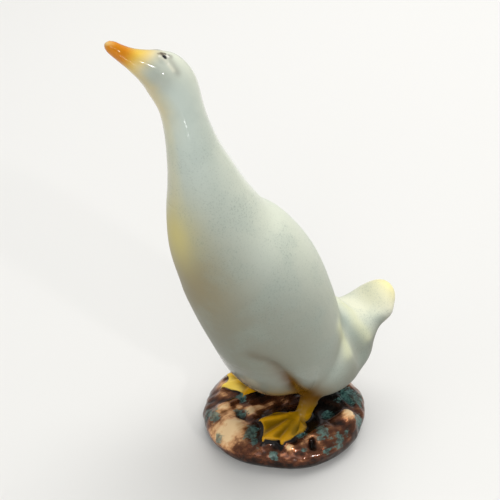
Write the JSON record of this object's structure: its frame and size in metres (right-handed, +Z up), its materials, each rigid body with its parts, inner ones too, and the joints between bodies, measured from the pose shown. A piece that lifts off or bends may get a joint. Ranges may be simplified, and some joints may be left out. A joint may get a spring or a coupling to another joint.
{
  "type": "goose figurine",
  "caption": "Glazed ceramic figurine of a white goose standing upright with its neck stretched up, on an oval rock mound with a lustre glaze.",
  "frame": {"origin": "centre of the flat underside of the rock mound", "axes": "+Z up from the underside to the crown, -Y the way the goose looks, +X its left side"},
  "size_m": [0.0443, 0.0804, 0.121],
  "materials": {
    "glaze": "gloss, cream white on the bird, ochre bill and feet, copper lustre with green patches on the rock"
  },
  "bodies": {
    "root": {"goose_figurine": "glaze"}
  },
  "joints": []
}
